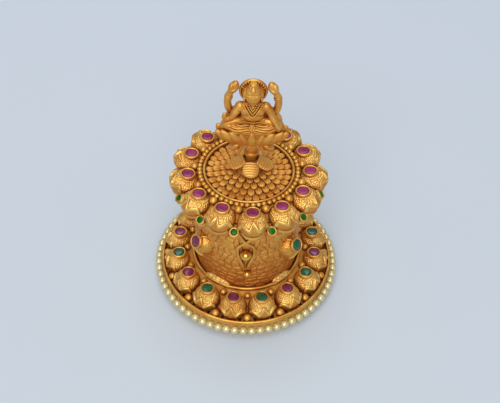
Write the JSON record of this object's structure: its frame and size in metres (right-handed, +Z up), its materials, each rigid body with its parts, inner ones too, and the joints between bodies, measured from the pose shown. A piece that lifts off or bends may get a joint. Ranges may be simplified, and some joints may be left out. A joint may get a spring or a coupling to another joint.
{
  "type": "kumkum box",
  "caption": "Small round kumkum box: a footed drum with a lift-off lid, rings of gem-set lotus buds, a pearl edge and a seated devotional figure as the lid's finial.",
  "frame": {"origin": "centre of the flat underside of the base", "axes": "+Z up along the drum's axis, the seated figure faces -Y, +X to the viewer's right from the front"},
  "size_m": [0.06, 0.06, 0.0755],
  "materials": {
    "matte_gold": "antique matte gold plating, stippled and carved",
    "polished_gold": "rubbed satin gold plating",
    "ruby": "polished pink-red stone",
    "emerald": "polished blue-green stone",
    "edge_emerald": "polished grass-green stone",
    "pearl": "cream pearl lustre"
  },
  "bodies": {
    "box": {"base_plate": "matte_gold", "base_edge_band": "matte_gold", "rim_wire": "polished_gold", "pearl_wire": "polished_gold", "pearls": "pearl", "base_apron": "matte_gold", "base_buds": "matte_gold", "base_bezels": "polished_gold", "base_rubies": "ruby", "base_emeralds": "emerald", "base_outer_granules": "polished_gold", "base_inner_granules": "polished_gold", "base_collar": "matte_gold", "collar_wire": "polished_gold", "cup_wall": "matte_gold", "cup_floor": "matte_gold", "wall_buds": "matte_gold", "wall_bezels": "polished_gold", "wall_rubies": "ruby", "wall_emeralds": "emerald", "drop_frames": "polished_gold", "drop_large_balls": "polished_gold", "drop_small_balls": "polished_gold"},
    "lid": {"lid_plate": "matte_gold", "lid_spigot": "matte_gold", "lid_brim": "matte_gold", "lid_buds": "matte_gold", "lid_bezels": "polished_gold", "lid_rubies": "ruby", "edge_collets": "polished_gold", "edge_emeralds": "edge_emerald", "lid_ring_granules": "polished_gold", "lid_gap_granules": "polished_gold", "lid_wire_ring": "polished_gold", "rosette_row_1": "matte_gold", "rosette_row_2": "matte_gold", "rosette_row_3": "matte_gold", "rosette_row_4": "matte_gold", "finial_stem": "matte_gold", "finial_leaves": "matte_gold", "lotus_seat": "matte_gold", "seated_figure": "matte_gold"}
  },
  "joints": [
    {"name": "lid_lift", "type": "slide", "parent": "box", "child": "lid", "axis": [0, 0, 1], "range_m": [0, 0.045]}
  ]
}
